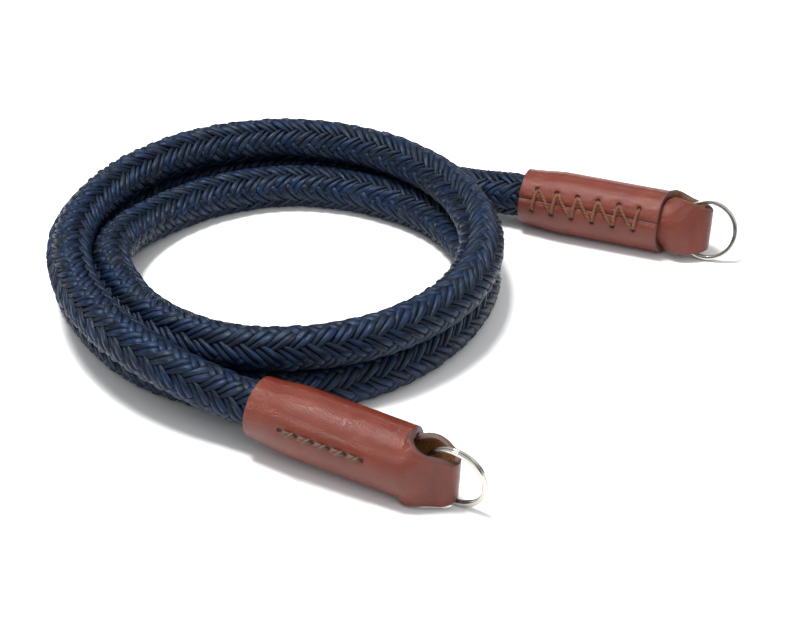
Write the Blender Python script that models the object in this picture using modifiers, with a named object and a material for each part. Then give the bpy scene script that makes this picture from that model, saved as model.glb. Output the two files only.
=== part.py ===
"""Coiled rope camera strap: a braided cord lying in a loose coil, with a folded leather end and a split
ring at each of its two ends. Metres, +Z up, resting on z = 0. The origin is under the middle of the
two leather ends and their rings."""

import math

import bmesh
import bpy
from mathutils import Matrix, Vector

STRAP = "rope_camera_strap"

# Rope: the diameter that neighbouring turns leave each other, a little under that over the braid's crowns
ROPE_DIAMETER = 0.0112
TURN_GAP = 0.0003
ROPE_TUCK = 0.026
POINT_SPACING = 0.0145
ROPE_SIDES_LEVEL = 4

# Coil, clockwise from above. turned: degrees from +X. out: how far outside COIL_RADIUS, and up: how far
# above the floor, both counted in neighbouring turns.
COIL_CENTRE = Vector((-0.0613, 0.0312, 0))
COIL_RADIUS = 0.055
COIL_COLUMNS = ("turned", "out", "up")
COIL_ROWS = (
    (98, 1.32, 0.58),
    (105, 1.14, 0.72),
    (120, 0.81, 0.94),
    (135, 0.50, 1.01),
    (150, 0.26, 1.01),
    (180, 0.04, 1.01),
    (210, -0.06, 1.01),
    (240, -0.01, 1.01),
    (270, 0.00, 1.01),
    (300, -0.03, 1.00),
    (330, -0.04, 1.00),
    (360, 0.04, 1.00),
    (390, 0.19, 1.00),
    (420, 0.23, 1.00),
    (450, 0.17, 1.00),
    (465, 0.00, 0.97),
    (480, -0.27, 0.92),
    (495, -0.53, 0.85),
    (510, -0.75, 0.76),
    (525, -0.81, 0.64),
    (540, -0.82, 0.47),
    (555, -0.85, 0.29),
    (570, -0.88, 0.13),
    (585, -0.88, 0.03),
    (600, -0.84, 0.00),
    (630, -0.71, 0.00),
    (660, -0.57, 0.00),
    (690, -0.24, 0.00),
    (720, 0.00, 0.00),
    (750, 0.03, 0.00),
    (780, 0.23, 0.00),
    (810, 0.48, 0.00),
    (840, 0.20, 0.00),
    (870, -0.07, 0.00),
    (900, 0.08, 0.00),
    (930, 0.15, 0.00),
    (960, 0.23, 0.00),
    (990, 0.32, 0.01),
    (1014, 0.45, 0.03),
)
RUN_TO_B = 0.014

# Split ring: two coils of flat wire side by side, which cross the tongue's edges behind its tip
RING_DIAMETER = 0.0170
WIRE_RADIAL = 0.0012
WIRE_AXIAL = 0.00082
COIL_GAP = 0.00004
WIRE_BEHIND_TIP = 0.0055
RING_POINTS_PER_TURN = 32
STEP_FROM = 300
STEP_TO = 350
WIRE_END_GAP = 6

# Leather end: x runs from the edge where the rope goes in to the tip of the loop, y to the smooth side
LEATHER = 0.0017
ENTRY_DIAMETER = 0.0158
SLEEVE_DIAMETER = 0.0177
FLARE_LENGTH = 0.012
SLEEVE_LENGTH = 0.0404
LOOP_REACH = 0.0139
FOLD_GAP = 0.0038
SEAM_GAP = 0.0004
TAIL_TUCK = 0.007
TAIL_CLEARANCE = 0.0003
RING_SLACK = 0.0016
FOLD_WIDTH = RING_DIAMETER - 2 * WIRE_RADIAL - RING_SLACK
TONGUE_TAPER = 0.0008
TONGUE_WIDTH = FOLD_WIDTH + TONGUE_TAPER
SHOULDER_RADIUS = 0.008
AROUND_SHOULDER = 5
AROUND_TONGUE = 12
ALONG_SLEEVE = 12
FOLD_STEPS = 6
LOOP_STEPS = 10
CURL_AS_LENGTH = 1e-8

# How the two bands of the loop close from the sleeve to the fold. reach: share of the way there. front and
# back: share of the sleeve's half height that is left on the smooth and on the seam side. curl: share of
# the sleeve's roundness that is left.
LOOP_COLUMNS = ("reach", "front", "back", "curl")
LOOP_ROWS = (
    (0.00, 1.00, 1.00, 1.00),
    (0.18, 0.97, 1.00, 0.88),
    (0.38, 0.83, 0.95, 0.62),
    (0.60, 0.58, 0.76, 0.36),
    (0.82, 0.26, 0.40, 0.16),
    (0.97, 0.04, 0.07, 0.05),
)

# Places. start: middle of the edge where the rope goes in. heading: degrees from +X. tip_lift: how far
# the loop's tip is above half the ring's height. roll: how far the smooth side is turned up from level,
# at the sleeve and at the fold.
TIP_LIFT_A = -0.00034
TIP_LIFT_B = 0.00002
START_A = Vector((-0.0620, -0.0431, 0.0111))
START_B = Vector((0.0085, 0.0663, 0.0088))
END_A = {
    "start": START_A,
    "heading": -28.0,
    "tip_lift": TIP_LIFT_A,
    "smooth_side": -1,
    "roll": 7,
    "fold_roll": 0,
}
END_B = {
    "start": START_B,
    "heading": -20.8,
    "tip_lift": TIP_LIFT_B,
    "smooth_side": 1,
    "roll": -24,
    "fold_roll": -14,
}
RING_A = {"lean": 6, "step_at": 200}
RING_B = {"lean": -18, "step_at": 150}
FLOOR_CLEARANCE = 0.00005

COLOURS = {
    "rope": (0.020, 0.032, 0.075, 1),
    "leather": (0.330, 0.105, 0.045, 1),
    "steel": (0.700, 0.690, 0.670, 1),
}


def clear_scene():
    for existing in list(bpy.data.objects):
        bpy.data.objects.remove(existing, do_unlink=True)


def new_collection(name):
    made = bpy.data.collections.new(name)
    bpy.context.scene.collection.children.link(made)
    return made


def principled(name, colour, roughness, metallic=0.0):
    material = bpy.data.materials.new(name)
    material.use_nodes = True
    shader = material.node_tree.nodes["Principled BSDF"]
    shader.inputs["Base Color"].default_value = colour
    shader.inputs["Roughness"].default_value = roughness
    shader.inputs["Metallic"].default_value = metallic
    return material


def smooth_curve(knots, spacing):
    """Points of one smooth curve through the knots, about the given distance apart."""
    chords = [(b - a).length for a, b in zip(knots, knots[1:])]
    slopes = [(b - a) / d for a, b, d in zip(knots, knots[1:], chords)]
    tangents = [slopes[0]]
    for before, after, length_before, length_after in zip(slopes, slopes[1:], chords, chords[1:]):
        tangents.append((before * length_after + after * length_before) / (length_before + length_after))
    tangents.append(slopes[-1])
    points = []
    for i, chord in enumerate(chords):
        steps = max(1, round(chord / spacing))
        for k in range(steps):
            t = k / steps
            points.append(
                knots[i] * (2 * t**3 - 3 * t**2 + 1)
                + tangents[i] * chord * (t**3 - 2 * t**2 + t)
                + knots[i + 1] * (3 * t**2 - 2 * t**3)
                + tangents[i + 1] * chord * (t**3 - t**2)
            )
    return points + [knots[-1]]


def end_axis(end):
    heading = math.radians(end["heading"])
    tip_height = RING_DIAMETER / 2 + end["tip_lift"]
    rise = (tip_height - end["start"].z) / (SLEEVE_LENGTH + LOOP_REACH)
    level = math.sqrt(1 - rise**2)
    return Vector((level * math.cos(heading), level * math.sin(heading), rise))


def coil_knots():
    pitch = ROPE_DIAMETER + TURN_GAP
    knots = []
    for row in COIL_ROWS:
        at = dict(zip(COIL_COLUMNS, row))
        angle = -math.radians(at["turned"])
        radius = COIL_RADIUS + at["out"] * pitch
        height = ROPE_DIAMETER / 2 + at["up"] * pitch
        knots.append(COIL_CENTRE + Vector((radius * math.cos(angle), radius * math.sin(angle), height)))
    return knots


def rope_knots():
    axis_a = end_axis(END_A)
    axis_b = end_axis(END_B)
    inside_a = [END_A["start"] + axis_a * ROPE_TUCK * share for share in (1.0, 0.5, 0.0)]
    inside_b = [END_B["start"] + axis_b * ROPE_TUCK * share for share in (0.0, 0.5, 1.0)]
    last_turn_height = ROPE_DIAMETER / 2
    before_b = END_B["start"] - axis_b * RUN_TO_B
    before_b.z = (END_B["start"].z * 2 + last_turn_height) / 3
    return inside_a + coil_knots() + [before_b] + inside_b


def add_rope(collection, material):
    curve = bpy.data.curves.new("rope", "CURVE")
    curve.dimensions = "3D"
    curve.bevel_depth = ROPE_DIAMETER / 2
    curve.bevel_resolution = ROPE_SIDES_LEVEL
    curve.use_fill_caps = True
    points = smooth_curve(rope_knots(), POINT_SPACING)
    spline = curve.splines.new("POLY")
    spline.points.add(len(points) - 1)
    for target, point in zip(spline.points, points):
        target.co = (*point, 1)
    curve.materials.append(material)
    rope = bpy.data.objects.new("rope", curve)
    collection.objects.link(rope)
    return rope


def ease(share):
    share = min(1.0, max(0.0, share))
    return share * share * (3 - 2 * share)


def sleeve_radius(x):
    """Radius of the middle of the leather wall at x."""
    diameter = ENTRY_DIAMETER + (SLEEVE_DIAMETER - ENTRY_DIAMETER) * ease(x / FLARE_LENGTH)
    return (diameter - LEATHER) / 2


def sleeve_shares():
    """Where each row of the surface lies round the sleeve: shares of the way from the smooth side to the seam."""
    half_turn = math.pi * sleeve_radius(SLEEVE_LENGTH) - SEAM_GAP / 2
    root = (TONGUE_WIDTH / 2 + SHOULDER_RADIUS) / half_turn
    tongue = [root * (2 * k / AROUND_TONGUE - 1) for k in range(AROUND_TONGUE + 1)]
    flank = [root + (1 - root) * (k + 1) / AROUND_SHOULDER for k in range(AROUND_SHOULDER)]
    return [-share for share in reversed(flank)] + tongue + flank


def half_width(along):
    """Half the tongue's width, at a distance along it from the end of the sleeve."""
    left = max(0.0, SHOULDER_RADIUS - along)
    width = TONGUE_WIDTH + (FOLD_WIDTH - TONGUE_WIDTH) * ease(along / LOOP_REACH)
    return width / 2 + SHOULDER_RADIUS - math.sqrt(SHOULDER_RADIUS**2 - left**2)


def loop_path():
    """Middle line of the tongue as (x, y, curl), out to the fold and back into the sleeve."""
    fold_radius = (FOLD_GAP + LEATHER) / 2
    fold_x = SLEEVE_LENGTH + LOOP_REACH - LEATHER / 2 - fold_radius
    outer = sleeve_radius(SLEEVE_LENGTH)
    inner = outer - LEATHER - TAIL_CLEARANCE
    out, back = [], []
    for row in LOOP_ROWS:
        at = dict(zip(LOOP_COLUMNS, row))
        x = SLEEVE_LENGTH + (fold_x - SLEEVE_LENGTH) * at["reach"]
        out.append(Vector((x, fold_radius + (outer - fold_radius) * at["front"], at["curl"] / outer)))
        back.append(Vector((x, -fold_radius - (inner - fold_radius) * at["back"], at["curl"] / inner)))
    fold = []
    for k in range(1, FOLD_STEPS):
        angle = math.pi * (0.5 - k / FOLD_STEPS)
        curl = LOOP_ROWS[-1][-1] / outer
        fold.append(Vector((fold_x + fold_radius * math.cos(angle), fold_radius * math.sin(angle), curl)))
    tail = [Vector((SLEEVE_LENGTH - TAIL_TUCK * share, -inner, 1 / inner)) for share in (0.5, 1.0)]
    return out + fold + list(reversed(back)) + tail


def loop_stations():
    """The path's points, thickened between its rows, each with its distance along and its outward direction."""
    knots = [Vector((p.x, p.y, p.z * CURL_AS_LENGTH)) for p in loop_path()]
    dense = smooth_curve(knots, LOOP_REACH / LOOP_STEPS)
    stations = []
    along = 0.0
    for i, point in enumerate(dense):
        before, after = dense[max(i - 1, 0)], dense[min(i + 1, len(dense) - 1)]
        if i:
            along += (point - before).length
        ahead = (after - before).normalized()
        stations.append((point.x, point.y, point.z / CURL_AS_LENGTH, along, Vector((-ahead.y, ahead.x))))
    return stations


def rolled(x, y, z, end):
    """Turns a point of the section round the leather end's axis by its roll there."""
    share = ease((x - SLEEVE_LENGTH) / LOOP_REACH)
    roll = math.radians(end["roll"] + (end["fold_roll"] - end["roll"]) * share)
    y *= end["smooth_side"]
    turned = -roll if end["smooth_side"] < 0 else roll
    return Vector((x, y * math.cos(turned) - z * math.sin(turned), y * math.sin(turned) + z * math.cos(turned)))


def end_place(end):
    """Matrix of the leather end: x along its axis, z upwards."""
    along = end_axis(end)
    side = Vector((0, 0, 1)).cross(along).normalized()
    up = along.cross(side)
    turn = Matrix((along, side, up)).transposed()
    return Matrix.Translation(end["start"]) @ turn.to_4x4()


def add_leather_end(name, end, collection, material):
    mesh = bpy.data.meshes.new(name)
    leather = bpy.data.objects.new(name, mesh)
    leather.matrix_world = end_place(end)
    collection.objects.link(leather)
    form = bmesh.new()
    shares = sleeve_shares()
    columns = []
    for k in range(ALONG_SLEEVE + 1):
        x = SLEEVE_LENGTH * k / ALONG_SLEEVE
        radius = sleeve_radius(x)
        full = math.pi - SEAM_GAP / 2 / radius
        columns.append(
            [
                form.verts.new(rolled(x, radius * math.cos(full * s), radius * math.sin(full * s), end))
                for s in shares
            ]
        )
    tongue = slice(AROUND_SHOULDER, AROUND_SHOULDER + AROUND_TONGUE + 1)
    sleeve_rows = columns[-1][tongue]
    for x, y, curl, along, outward in loop_stations()[1:]:
        column = []
        for share in shares[tongue]:
            across = share / shares[tongue][-1] * half_width(along)
            bulge = -(1 - math.cos(across * curl)) / curl
            column.append(
                form.verts.new(rolled(x + outward.x * bulge, y + outward.y * bulge, math.sin(across * curl) / curl, end))
            )
        columns.append(column)
    strips = list(zip(columns[:ALONG_SLEEVE], columns[1 : ALONG_SLEEVE + 1]))
    strips += list(zip([sleeve_rows] + columns[ALONG_SLEEVE + 1 :], columns[ALONG_SLEEVE + 1 :]))
    for before, after in strips:
        for k in range(len(before) - 1):
            form.faces.new((before[k], after[k], after[k + 1], before[k + 1]))
    rest_on_floor(form, leather.matrix_world)
    bmesh.ops.recalc_face_normals(form, faces=form.faces)
    form.to_mesh(mesh)
    form.free()
    mesh.shade_smooth()
    mesh.materials.append(material)
    wall = leather.modifiers.new("wall", "SOLIDIFY")
    wall.thickness = LEATHER
    wall.offset = 0
    wall.use_even_offset = True
    return leather


def rest_on_floor(form, place):
    """Flattens the leather where its outer face would pass below the floor."""
    lowest = LEATHER / 2
    back = place.inverted()
    for vertex in form.verts:
        world = place @ vertex.co
        if world.z < lowest:
            world.z = lowest
            vertex.co = back @ world


def wire_section(collection):
    """Outline of the flat wire, as the guide that the ring's curve is swept with."""
    outline = bpy.data.curves.new("wire_section", "CURVE")
    outline.dimensions = "2D"
    corners = ((-1, 0.5), (-0.75, 1), (0.75, 1), (1, 0.5), (1, -0.5), (0.75, -1), (-0.75, -1), (-1, -0.5))
    spline = outline.splines.new("POLY")
    spline.points.add(len(corners) - 1)
    for target, (across, up) in zip(spline.points, corners):
        target.co = (across * WIRE_RADIAL / 2, up * WIRE_AXIAL / 2, 0, 1)
    spline.use_cyclic_u = True
    guide = bpy.data.objects.new("wire_section", outline)
    guide.hide_render = True
    guide.display_type = "WIRE"
    collection.objects.link(guide)
    return guide


def ring_points():
    """Middle of the wire: one coil, the step across, and the other coil, round the ring's own z."""
    radius = (RING_DIAMETER - WIRE_RADIAL) / 2
    shift = (WIRE_AXIAL + COIL_GAP) / 2
    last = 360 + STEP_FROM - WIRE_END_GAP
    first = STEP_TO - 360 + WIRE_END_GAP
    steps = round((last - first) / 360 * RING_POINTS_PER_TURN)
    points = []
    for k in range(steps + 1):
        angle = first + (last - first) * k / steps
        side = 2 * ease((angle - STEP_FROM) / (STEP_TO - STEP_FROM)) - 1
        turn = math.radians(angle)
        points.append(Vector((radius * math.cos(turn), radius * math.sin(turn), side * shift)))
    return points


def add_ring(name, ring, end, section, collection, material):
    wire = bpy.data.curves.new(name, "CURVE")
    wire.dimensions = "3D"
    wire.twist_mode = "Z_UP"
    wire.bevel_mode = "OBJECT"
    wire.bevel_object = section
    wire.use_fill_caps = True
    points = ring_points()
    spline = wire.splines.new("POLY")
    spline.points.add(len(points) - 1)
    for target, point in zip(spline.points, points):
        target.co = (*point, 1)
    wire.materials.append(material)
    made = bpy.data.objects.new(name, wire)
    made.matrix_world = ring_place(ring, end)
    collection.objects.link(made)
    return made


def ring_place(ring, end):
    """The ring stands on the floor, and its wire crosses the tongue's edges a set way behind the tip."""
    wire_radius = (RING_DIAMETER - WIRE_RADIAL) / 2
    to_crossing = math.sqrt(wire_radius**2 - (FOLD_WIDTH / 2) ** 2)
    centre = end["start"] + end_axis(end) * (SLEEVE_LENGTH + LOOP_REACH - WIRE_BEHIND_TIP + to_crossing)
    lean = math.radians(ring["lean"])
    half_axial = WIRE_AXIAL + COIL_GAP / 2
    centre.z = RING_DIAMETER / 2 * math.cos(lean) + half_axial * abs(math.sin(lean)) + FLOOR_CLEARANCE
    upright = Matrix.Rotation(math.radians(90) + lean, 4, "X")
    spin = Matrix.Rotation(math.radians(ring["step_at"]), 4, "Z")
    heading = Matrix.Rotation(math.radians(end["heading"]), 4, "Z")
    return Matrix.Translation(centre) @ heading @ upright @ spin


def build():
    clear_scene()
    parts = new_collection(STRAP)
    guides = new_collection("guides")
    rope = principled("braided_cord", COLOURS["rope"], 0.75)
    leather = principled("tan_leather", COLOURS["leather"], 0.5)
    steel = principled("nickel_steel", COLOURS["steel"], 0.2, 1.0)
    add_rope(parts, rope)
    add_leather_end("leather_end_a", END_A, parts, leather)
    add_leather_end("leather_end_b", END_B, parts, leather)
    section = wire_section(guides)
    add_ring("ring_a", RING_A, END_A, section, parts, steel)
    add_ring("ring_b", RING_B, END_B, section, parts, steel)


build()
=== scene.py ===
"""Looks of the coiled rope camera strap: braided cord, leather ends with their sewing, and split rings."""

import bisect
import math

import bmesh
import bpy
from mathutils import Matrix, Vector


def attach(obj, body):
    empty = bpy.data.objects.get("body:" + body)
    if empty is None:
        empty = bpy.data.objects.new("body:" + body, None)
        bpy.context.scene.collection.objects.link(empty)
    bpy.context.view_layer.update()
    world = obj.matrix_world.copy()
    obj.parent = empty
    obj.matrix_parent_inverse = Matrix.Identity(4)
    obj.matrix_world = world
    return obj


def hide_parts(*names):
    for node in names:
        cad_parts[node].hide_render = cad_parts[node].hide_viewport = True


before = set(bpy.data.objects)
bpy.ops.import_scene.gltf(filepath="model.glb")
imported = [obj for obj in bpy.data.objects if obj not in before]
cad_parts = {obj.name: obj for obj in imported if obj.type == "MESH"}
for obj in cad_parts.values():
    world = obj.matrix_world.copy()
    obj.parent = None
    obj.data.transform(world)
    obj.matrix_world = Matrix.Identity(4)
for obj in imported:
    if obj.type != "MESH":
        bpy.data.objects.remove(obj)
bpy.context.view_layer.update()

BODY = "root"
MERGE_DISTANCE = 1e-7

# Rope, as the frame has it
ROPE_DIAMETER = 0.0112
TURN_GAP = 0.0003
UPPER_TURN_SETTLES = 0.00055
SETTLED_FROM = 0.9
ROPE_TUCK = 0.026
COIL_CENTRE = Vector((-0.0613, 0.0312, 0))
COIL_RADIUS = 0.055
COIL_COLUMNS = ("turned", "out", "up")
COIL_ROWS = (
    (98, 1.32, 0.58),
    (105, 1.14, 0.72),
    (120, 0.81, 0.94),
    (135, 0.50, 1.01),
    (150, 0.26, 1.01),
    (180, 0.04, 1.01),
    (210, -0.06, 1.01),
    (240, -0.01, 1.01),
    (270, 0.00, 1.01),
    (300, -0.03, 1.00),
    (330, -0.04, 1.00),
    (360, 0.04, 1.00),
    (390, 0.19, 1.00),
    (420, 0.23, 1.00),
    (450, 0.17, 1.00),
    (465, 0.00, 0.97),
    (480, -0.27, 0.92),
    (495, -0.53, 0.85),
    (510, -0.75, 0.76),
    (525, -0.81, 0.64),
    (540, -0.82, 0.47),
    (555, -0.85, 0.29),
    (570, -0.88, 0.13),
    (585, -0.88, 0.03),
    (600, -0.84, 0.00),
    (630, -0.71, 0.00),
    (660, -0.57, 0.00),
    (690, -0.24, 0.00),
    (720, 0.00, 0.00),
    (750, 0.03, 0.00),
    (780, 0.23, 0.00),
    (810, 0.48, 0.00),
    (840, 0.20, 0.00),
    (870, -0.07, 0.00),
    (900, 0.08, 0.00),
    (930, 0.15, 0.00),
    (960, 0.23, 0.00),
    (990, 0.32, 0.01),
    (1014, 0.45, 0.03),
)
RUN_TO_B = 0.014
ROPE_STEP = 0.003

# Braid: eight columns of tufts round the rope, slanting in turn to one side and to the other
BRAID_DIAMETER = 0.0123
CORE_DIAMETER = 0.0101
COLUMNS_EACH_WAY = 4
TUFT_PITCH = 0.005
TUFT_SLANT = 43
TUFT_HEAD = 0.0040
TUFT_TAIL = 0.0060
YARN_WIDTH = 0.00212
YARN_THICKNESS = 0.00138
YARN_SIDES = 7
YARN_SPREAD = 0.46
SPREAD_AT_POINT = 0.35
THICKNESS_AT_POINT = 0.55
YARN_SINK = 0.6
FIRST_ROW = 0.8
LEFT_BRAID = {"along": 0.25, "round": 0.125, "seed": 11}
RIGHT_BRAID = {"along": -0.25, "round": 0.625, "seed": 23}
JITTER_LOW = (-0.00016, -0.00012, -0.00010)
JITTER_HIGH = (0.00016, 0.00012, 0.00008)
TILT_JITTER = 0.06
SIZE_JITTER = (0.95, 1.06)
FLOOR_SKIN = 0.00004

# One yarn of a tuft. along: share of its length from tail to head. width: share of YARN_WIDTH. rise:
# height of its middle in YARN_THICKNESS, where 1 brings its crown to the braid's full diameter
YARN_COLUMNS = ("along", "width", "rise")
YARN_ROWS = (
    (0.00, 0.30, 0.30),
    (0.15, 0.50, 0.52),
    (0.32, 0.68, 0.68),
    (0.52, 0.87, 0.86),
    (0.72, 1.04, 1.02),
    (0.87, 1.05, 1.02),
    (0.96, 0.80, 0.76),
    (1.00, 0.40, 0.36),
)

# Leather end, as the frame has it
LEATHER = 0.0017
ENTRY_DIAMETER = 0.0158
SLEEVE_DIAMETER = 0.0177
FLARE_LENGTH = 0.012
SLEEVE_LENGTH = 0.0404
LOOP_REACH = 0.0139
FOLD_GAP = 0.0038
SEAM_GAP = 0.0009
TAIL_TUCK = 0.007
TAIL_CLEARANCE = 0.0003
TONGUE_WIDTH = 0.0138
FOLD_WIDTH = 0.0130
SHOULDER_REACH = 0.0135
SHOULDER_LENGTH = 0.009
LOOP_COLUMNS = ("reach", "front", "back", "curl")
LOOP_ROWS = (
    (0.00, 1.00, 1.00, 1.00),
    (0.18, 0.97, 1.00, 0.88),
    (0.38, 0.83, 0.95, 0.62),
    (0.60, 0.58, 0.76, 0.36),
    (0.82, 0.26, 0.40, 0.16),
    (0.97, 0.04, 0.07, 0.05),
)
END_A = {
    "name": "a",
    "start": Vector((-0.0620, -0.0431, 0.0111)),
    "heading": -28.0,
    "tip_lift": -0.00034,
    "smooth_side": -1,
    "roll": 7,
    "fold_roll": 0,
    "tongue_drop": 0.0007,
}
END_B = {
    "name": "b",
    "start": Vector((0.0085, 0.0663, 0.0088)),
    "heading": -20.8,
    "tip_lift": 0.00002,
    "smooth_side": 1,
    "roll": -24,
    "fold_roll": -14,
    "tongue_drop": 0.0,
}
CURL_AS_LENGTH = 1e-8
FOLD_STEPS = 8
LOOP_STEP = 0.00005

# Finer grid of the leather, and its rounded edge
ALONG_SLEEVE = 130
AROUND_FLANK = 22
AROUND_TONGUE = 34
SHOULDER_STEPS = 12
TONGUE_STEP = 0.0004
TAIL_WIDTH = 0.0165
PINCH = 0.0011
PINCH_LENGTH = 0.0030
ROOT_EASING = 0.004
RIM_STEPS = 6
RIM_BULGE = 0.00028
RIM_SQUARENESS = 0.7

# Sewing. The rows of a stitch and of a lace give its share from hole to hole and its lift off the leather
STITCH_HOLES = 6
FIRST_STITCH = 0.0104
STITCH_PITCH = 0.00444
STITCH_OFF_MIDDLE = 0.0013
STITCH_THREAD = 0.00145
STITCH_TWIST = 330
STITCH_ROWS = (
    (0.13, -0.0012),
    (0.22, -0.0002),
    (0.50, 0.00046),
    (0.78, -0.0002),
    (0.87, -0.0012),
)
LACE_HOLES = 6
FIRST_LACE = 0.0040
LACE_PITCH = 0.0060
LACE_OFF_SEAM = 0.0033
LACE_LAG = 0.0008
LACE_THREAD = 0.00102
LACE_TWIST = 500
LACE_ROWS = (
    (0.04, -0.0008),
    (0.15, -0.0001),
    (0.50, 0.00012),
    (0.85, -0.0001),
    (0.96, -0.0008),
)
PLIES = 2
PLY_RADIUS = 0.29
PLY_OFF_MIDDLE = 0.23
ASKEW = Vector((0.13, -0.42, 0.9))
HOLE_RADIUS = 0.00070
DIMPLE_RADIUS = 0.0011
DIMPLE_DEPTH = 0.00030
SEAM_SINK = 0.00045
SEAM_SINK_WIDTH = 0.0022
FAR_FROM_SEAM = 1.0

# Split rings
RING_DIAMETER = 0.0170
WIRE_RADIAL = 0.0012
WIRE_AXIAL = 0.00082
COIL_GAP = 0.00004
RING_POINTS_PER_TURN = 120
STEP_FROM = 300
STEP_TO = 350
WIRE_END_GAP = 6
WIRE_SECTION_POINTS = 16
WIRE_SQUARENESS = 0.55
WIRE_SHARP_ANGLE = 50
WIRE_BEHIND_TIP = 0.0055
RING_A = {"lean": 6, "step_at": 200}
RING_B = {"lean": -18, "step_at": 150}
FLOOR_CLEARANCE = 0.00005

# Studio
CAMERA_PLACE = Vector((-0.0279, -0.4624, 0.3044))
CAMERA_DOWN = 32.6
CAMERA_LENS = 94.5
SKY_STRENGTH = 0.85
LIGHTS_AIM = Vector((-0.02, 0.0, 0.0))
KEY = {"place": Vector((-0.25, 0.05, 1.10)), "size": 0.30, "power": 18.0}
FRONT_FILL = {"place": Vector((0.45, -0.80, 0.70)), "size": 0.70, "power": 2.0}


# Shared curves and small helpers


def smooth_curve(knots, spacing):
    """Points of one smooth curve through the knots, about the given distance apart."""
    chords = [(b - a).length for a, b in zip(knots, knots[1:])]
    slopes = [(b - a) / d for a, b, d in zip(knots, knots[1:], chords)]
    tangents = [slopes[0]]
    for before, after, length_before, length_after in zip(slopes, slopes[1:], chords, chords[1:]):
        tangents.append((before * length_after + after * length_before) / (length_before + length_after))
    tangents.append(slopes[-1])
    points = []
    for i, chord in enumerate(chords):
        steps = max(1, round(chord / spacing))
        for k in range(steps):
            t = k / steps
            points.append(
                knots[i] * (2 * t**3 - 3 * t**2 + 1)
                + tangents[i] * chord * (t**3 - 2 * t**2 + t)
                + knots[i + 1] * (3 * t**2 - 2 * t**3)
                + tangents[i + 1] * chord * (t**3 - t**2)
            )
    return points + [knots[-1]]


def ease(share):
    share = min(1.0, max(0.0, share))
    return share * share * (3 - 2 * share)


def length_of(points):
    return sum((b - a).length for a, b in zip(points, points[1:]))


def link(obj):
    bpy.context.scene.collection.objects.link(obj)
    return obj


def poly_curve(name, points, radius=0.0, resolution=2):
    """A round thread or wire along the points, as a curve object."""
    data = bpy.data.curves.new(name, "CURVE")
    data.dimensions = "3D"
    data.bevel_depth = radius
    data.bevel_resolution = resolution
    data.use_fill_caps = radius > 0
    spline = data.splines.new("POLY")
    spline.points.add(len(points) - 1)
    for target, point in zip(spline.points, points):
        target.co = (*point, 1)
    return link(bpy.data.objects.new(name, data))


def as_mesh(obj, name):
    """A plain mesh object of what the object looks like, which takes its place."""
    graph = bpy.context.evaluated_depsgraph_get()
    graph.update()
    mesh = bpy.data.meshes.new_from_object(obj.evaluated_get(graph))
    mesh.name = name
    mesh.transform(obj.matrix_world)
    made = link(bpy.data.objects.new(name, mesh))
    bpy.data.objects.remove(obj, do_unlink=True)
    return made


def object_of(form, name):
    """A smooth mesh object of the form, which is freed."""
    mesh = bpy.data.meshes.new(name)
    form.to_mesh(mesh)
    form.free()
    mesh.shade_smooth()
    return link(bpy.data.objects.new(name, mesh))


def joined(name, objects, material):
    """One mesh object of one or more, with its doubled points merged."""
    form = bmesh.new()
    for obj in objects:
        part = as_mesh(obj, obj.name + "_part")
        form.from_mesh(part.data)
        bpy.data.objects.remove(part, do_unlink=True)
    bmesh.ops.remove_doubles(form, verts=form.verts, dist=MERGE_DISTANCE)
    made = object_of(form, name)
    made.data.materials.append(material)
    return made


# Node helpers


class Nodes:
    """Adds nodes to a tree and joins them, so that a material reads top to bottom."""

    def __init__(self, tree):
        self.tree = tree

    def add(self, kind, inputs=(), **settings):
        node = self.tree.nodes.new(kind)
        for name, value in settings.items():
            setattr(node, name, value)
        self.fill(node, dict(inputs))
        return node

    def fill(self, node, inputs):
        for key, value in inputs.items():
            self.put(node.inputs[key], value)

    def put(self, socket, value):
        if isinstance(value, bpy.types.NodeSocket):
            self.tree.links.new(value, socket)
        else:
            socket.default_value = value

    def math(self, operation, first, second=0.0, third=0.0):
        node = self.add("ShaderNodeMath", operation=operation)
        for socket, value in zip(node.inputs, (first, second, third)):
            self.put(socket, value)
        return node.outputs[0]

    def vector(self, operation, first, second=(0, 0, 0)):
        inputs = {0: first, (3 if operation == "SCALE" else 1): second}
        return self.add("ShaderNodeVectorMath", inputs, operation=operation).outputs[0]

    def ramp(self, value, low, high, low_out=0.0, high_out=1.0):
        inputs = {0: value, 1: low, 2: high, 3: low_out, 4: high_out}
        return self.add("ShaderNodeMapRange", inputs, interpolation_type="SMOOTHSTEP").outputs[0]

    def object_place(self):
        return self.add("ShaderNodeTexCoord").outputs["Object"]

    def noise(self, place, scale, detail=2.0, roughness=0.5):
        inputs = {"Vector": place, "Scale": scale, "Detail": detail, "Roughness": roughness}
        return self.add("ShaderNodeTexNoise", inputs).outputs[0]

    def bump(self, height, strength, distance, over=None):
        node = self.add("ShaderNodeBump", {"Strength": strength, "Distance": distance, "Height": height})
        if over:
            self.put(node.inputs["Normal"], over)
        return node.outputs[0]

    def random(self, low, high, seed):
        node = self.add("FunctionNodeRandomValue", {2: low, 3: high, "Seed": seed}, data_type="FLOAT")
        return node.outputs[1]

    def mix(self, share, first, second):
        return self.add("ShaderNodeMix", {0: share, 6: first, 7: second}, data_type="RGBA").outputs[2]


def colour(red, green, blue):
    return (red, green, blue, 1.0)


def new_group(name, inputs, outputs):
    """A shader node group with named sockets. Returns its tree, and its input and output nodes."""
    group = bpy.data.node_groups.new(name, "ShaderNodeTree")
    for socket_name, kind in inputs:
        group.interface.new_socket(socket_name, in_out="INPUT", socket_type=kind)
    for socket_name, kind in outputs:
        group.interface.new_socket(socket_name, in_out="OUTPUT", socket_type=kind)
    return group, group.nodes.new("NodeGroupInput"), group.nodes.new("NodeGroupOutput")


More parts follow.
